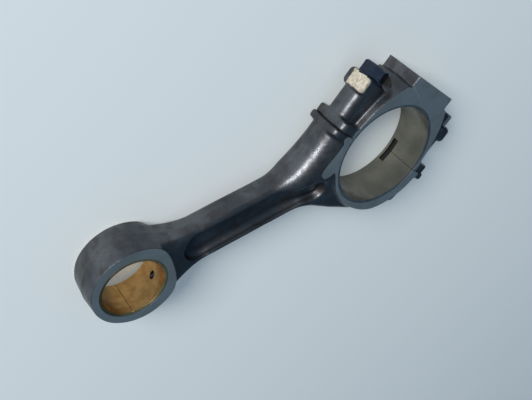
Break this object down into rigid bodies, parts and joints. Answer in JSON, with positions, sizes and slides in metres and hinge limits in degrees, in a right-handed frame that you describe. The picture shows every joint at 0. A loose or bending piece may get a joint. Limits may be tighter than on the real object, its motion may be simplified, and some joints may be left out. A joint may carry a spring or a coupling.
{
  "type": "connecting rod",
  "caption": "Forged engine connecting rod with an obliquely split crankpin end, bolted bearing cap, bearing shells and a bushed pin eye.",
  "frame": {"origin": "centre of the crankpin bore, half way through the rod", "axes": "+X from the crankpin bore to the gudgeon pin bore, +Z along the crankpin axis"},
  "size_m": [0.3477, 0.157, 0.037],
  "materials": {
    "forged_steel": "dark forging scale with ground faces",
    "bronze": "bored bronze",
    "bearing_lining": "satin tin-grey lining",
    "bolt_steel": "blue-black oxide"
  },
  "bodies": {
    "rod": {"rod_forging": "forged_steel", "small_end_bush": "bronze", "rod_bearing_shell": "bearing_lining"},
    "cap": {"bearing_cap": "forged_steel", "cap_bearing_shell": "bearing_lining"},
    "bolt_shank_side": {"cap_bolt_shank_side": "bolt_steel"},
    "bolt_free_side": {"cap_bolt_free_side": "bolt_steel"}
  },
  "joints": [
    {"name": "cap_lift", "type": "slide", "parent": "rod", "child": "cap", "axis": [-0.7547, -0.6561, 0], "range_m": [0, 0.09]},
    {"name": "bolt_shank_side_unscrew", "type": "slide", "parent": "cap", "child": "bolt_shank_side", "axis": [-0.7547, -0.6561, 0], "range_m": [0, 0.08]},
    {"name": "bolt_free_side_unscrew", "type": "slide", "parent": "cap", "child": "bolt_free_side", "axis": [-0.7547, -0.6561, 0], "range_m": [0, 0.08]}
  ]
}
